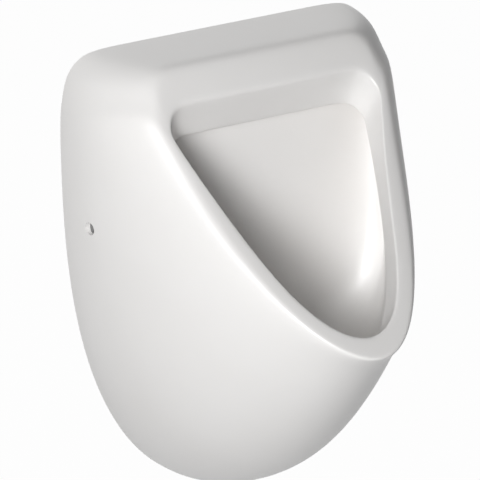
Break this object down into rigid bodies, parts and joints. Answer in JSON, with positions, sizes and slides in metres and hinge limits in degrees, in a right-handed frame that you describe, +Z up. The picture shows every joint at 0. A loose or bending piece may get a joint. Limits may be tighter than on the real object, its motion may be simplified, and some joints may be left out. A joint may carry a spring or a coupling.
{
  "type": "wall hung urinal",
  "caption": "Wall hung urinal of white glazed china with a leaning shield-shaped opening, rear flush inlet, concealed P trap and hidden side fixings.",
  "frame": {"origin": "on the wall plane, midway between the two wall bolt holes of the brackets, level with the side fixing holes", "axes": "+Z up, +Y into the wall, -Y to the user in front, X across; the plane X = 0 is the plane of symmetry"},
  "size_m": [0.362, 0.3053, 0.4873],
  "materials": {
    "glazed_china": "glossy white glaze, bare on the wall side",
    "chromed_brass": "polished chrome",
    "black_rubber": "matt",
    "white_plastic": "satin moulded",
    "brushed_steel": "brushed stainless",
    "zinc_steel": "bright zinc plate",
    "grey_nylon": "moulded nylon"
  },
  "bodies": {
    "urinal": {"bowl": "glazed_china", "inlet_spreader": "chromed_brass", "spreader_seal": "black_rubber", "inlet_washer": "black_rubber", "inlet_locknut": "chromed_brass", "inlet_sleeve": "black_rubber", "waste_fitting": "chromed_brass", "waste_gasket": "black_rubber", "under_gasket": "black_rubber", "waste_locknut": "white_plastic", "trap_bend": "white_plastic", "trap_inlet_seal": "black_rubber", "trap_inlet_nut": "white_plastic", "union_seal": "black_rubber", "union_nut": "white_plastic", "outlet_elbow": "white_plastic", "outlet_sleeve": "black_rubber", "left_bracket": "zinc_steel", "left_side_bush": "grey_nylon", "left_clamp_nut": "zinc_steel", "right_bracket": "zinc_steel", "right_side_bush": "grey_nylon", "right_clamp_nut": "zinc_steel"},
    "strainer": {"waste_strainer": "brushed_steel"},
    "left_screw": {"left_side_screw": "zinc_steel"},
    "right_screw": {"right_side_screw": "zinc_steel"}
  },
  "joints": [
    {"name": "strainer_lift", "type": "slide", "parent": "urinal", "child": "strainer", "axis": [0, 0, 1], "range_m": [0, 0.06]},
    {"name": "left_screw_out", "type": "slide", "parent": "urinal", "child": "left_screw", "axis": [-1, 0, 0], "range_m": [0, 0.008]},
    {"name": "right_screw_out", "type": "slide", "parent": "urinal", "child": "right_screw", "axis": [1, 0, 0], "range_m": [0, 0.008]}
  ]
}
